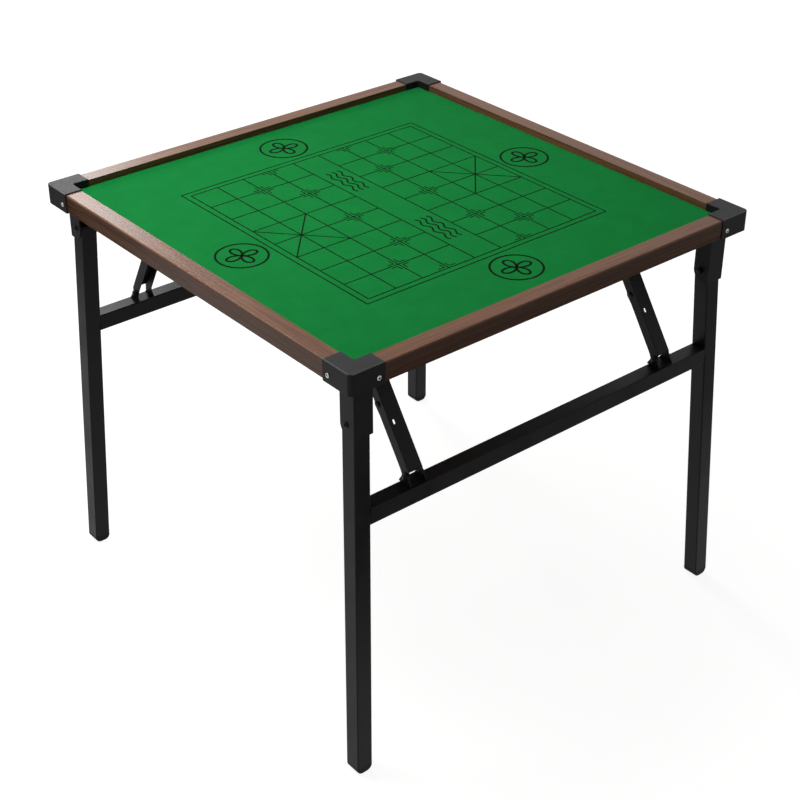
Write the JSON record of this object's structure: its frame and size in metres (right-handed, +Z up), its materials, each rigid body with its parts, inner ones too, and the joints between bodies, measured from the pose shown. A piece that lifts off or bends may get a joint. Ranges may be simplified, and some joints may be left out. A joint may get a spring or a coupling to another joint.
{
  "type": "folding game table",
  "caption": "Square folding game table: railed top with a sunk felt playing surface and capped corners, on hinged tubular leg frames held open by folding stays.",
  "frame": {"origin": "on the floor under the middle of the top", "axes": "+Z up, front at -Y, left at -X; each leg frame folds about an axis along X"},
  "size_m": [0.8544, 0.8546, 0.76],
  "materials": {
    "rail_wood": "brown wood-grain film, satin",
    "board_wood": "raw board, matt",
    "felt": "short-nap green felt",
    "black_plastic": "moulded, fine texture",
    "black_steel": "black powder coat, satin",
    "bright_steel": "bright zinc plate"
  },
  "bodies": {
    "table": {"top_panel": "board_wood", "playing_cloth": "felt", "corner_cap_screws": "bright_steel", "leg_bracket_screws": "bright_steel", "leg_pivot_bolts": "black_steel", "leg_pivot_nuts": "black_steel", "stay_anchor_screws": "bright_steel", "stay_anchor_rivets": "black_steel", "rail_front": "rail_wood", "rail_right": "rail_wood", "rail_back": "rail_wood", "rail_left": "rail_wood", "corner_cap_front_left": "black_plastic", "corner_block_front_left": "board_wood", "leg_bracket_front_left": "black_steel", "stay_anchor_front_left": "black_steel", "corner_cap_front_right": "black_plastic", "corner_block_front_right": "board_wood", "leg_bracket_front_right": "black_steel", "stay_anchor_front_right": "black_steel", "corner_cap_back_left": "black_plastic", "corner_block_back_left": "board_wood", "leg_bracket_back_left": "black_steel", "stay_anchor_back_left": "black_steel", "corner_cap_back_right": "black_plastic", "corner_block_back_right": "board_wood", "leg_bracket_back_right": "black_steel", "stay_anchor_back_right": "black_steel", "stay_batten_front": "board_wood", "stay_batten_back": "board_wood"},
    "front_frame": {"crossbar_front": "black_steel", "stay_clip_rivets_front": "black_steel", "leg_front_left": "black_steel", "foot_front_left": "black_plastic", "stay_clip_front_left": "black_steel", "leg_front_right": "black_steel", "foot_front_right": "black_plastic", "stay_clip_front_right": "black_steel"},
    "lower_stay_front_left": {"stay_lower_front_left": "black_steel", "stay_knee_rivet_front_left": "black_steel"},
    "upper_stay_front_left": {"stay_upper_front_left": "black_steel"},
    "lower_stay_front_right": {"stay_lower_front_right": "black_steel", "stay_knee_rivet_front_right": "black_steel"},
    "upper_stay_front_right": {"stay_upper_front_right": "black_steel"},
    "back_frame": {"crossbar_back": "black_steel", "stay_clip_rivets_back": "black_steel", "leg_back_left": "black_steel", "foot_back_left": "black_plastic", "stay_clip_back_left": "black_steel", "leg_back_right": "black_steel", "foot_back_right": "black_plastic", "stay_clip_back_right": "black_steel"},
    "lower_stay_back_left": {"stay_lower_back_left": "black_steel", "stay_knee_rivet_back_left": "black_steel"},
    "upper_stay_back_left": {"stay_upper_back_left": "black_steel"},
    "lower_stay_back_right": {"stay_lower_back_right": "black_steel", "stay_knee_rivet_back_right": "black_steel"},
    "upper_stay_back_right": {"stay_upper_back_right": "black_steel"}
  },
  "joints": [
    {"name": "front_frame_fold", "type": "hinge", "parent": "table", "child": "front_frame", "pos_m": [0, -0.38345, 0.65], "axis": [1, 0, 0], "range_deg": [0, 92.6]},
    {"name": "lower_stay_front_left_turn", "type": "hinge", "parent": "front_frame", "child": "lower_stay_front_left", "pos_m": [-0.278, -0.3879, 0.512], "axis": [1, 0, 0], "range_deg": [0, 13.2]},
    {"name": "upper_stay_front_left_turn", "type": "hinge", "parent": "lower_stay_front_left", "child": "upper_stay_front_left", "pos_m": [-0.278, -0.32084, 0.61142], "axis": [1, 0, 0], "range_deg": [-165.3, 0]},
    {"name": "lower_stay_front_right_turn", "type": "hinge", "parent": "front_frame", "child": "lower_stay_front_right", "pos_m": [0.278, -0.3879, 0.512], "axis": [1, 0, 0], "range_deg": [0, 13.2]},
    {"name": "upper_stay_front_right_turn", "type": "hinge", "parent": "lower_stay_front_right", "child": "upper_stay_front_right", "pos_m": [0.278, -0.32084, 0.61142], "axis": [1, 0, 0], "range_deg": [-165.3, 0]},
    {"name": "back_frame_fold", "type": "hinge", "parent": "table", "child": "back_frame", "pos_m": [0, 0.38204, 0.681], "axis": [-1, 0, 0], "range_deg": [0, 92.6]},
    {"name": "lower_stay_back_left_turn", "type": "hinge", "parent": "back_frame", "child": "lower_stay_back_left", "pos_m": [-0.278, 0.3879, 0.512], "axis": [-1, 0, 0], "range_deg": [0, 37.7]},
    {"name": "upper_stay_back_left_turn", "type": "hinge", "parent": "lower_stay_back_left", "child": "upper_stay_back_left", "pos_m": [-0.278, 0.32192, 0.63102], "axis": [-1, 0, 0], "range_deg": [-164.1, 0]},
    {"name": "lower_stay_back_right_turn", "type": "hinge", "parent": "back_frame", "child": "lower_stay_back_right", "pos_m": [0.278, 0.3879, 0.512], "axis": [-1, 0, 0], "range_deg": [0, 37.7]},
    {"name": "upper_stay_back_right_turn", "type": "hinge", "parent": "lower_stay_back_right", "child": "upper_stay_back_right", "pos_m": [0.278, 0.32192, 0.63102], "axis": [-1, 0, 0], "range_deg": [-164.1, 0]}
  ],
  "couplings": [
    {"joint": "lower_stay_front_left_turn", "follows": "front_frame_fold", "ratio": 0.14187},
    {"joint": "upper_stay_front_left_turn", "follows": "front_frame_fold", "ratio": -1.7848},
    {"joint": "lower_stay_front_right_turn", "follows": "front_frame_fold", "ratio": 0.14187},
    {"joint": "upper_stay_front_right_turn", "follows": "front_frame_fold", "ratio": -1.7848},
    {"joint": "lower_stay_back_left_turn", "follows": "back_frame_fold", "ratio": 0.40633},
    {"joint": "upper_stay_back_left_turn", "follows": "back_frame_fold", "ratio": -1.7715},
    {"joint": "lower_stay_back_right_turn", "follows": "back_frame_fold", "ratio": 0.40633},
    {"joint": "upper_stay_back_right_turn", "follows": "back_frame_fold", "ratio": -1.7715}
  ]
}
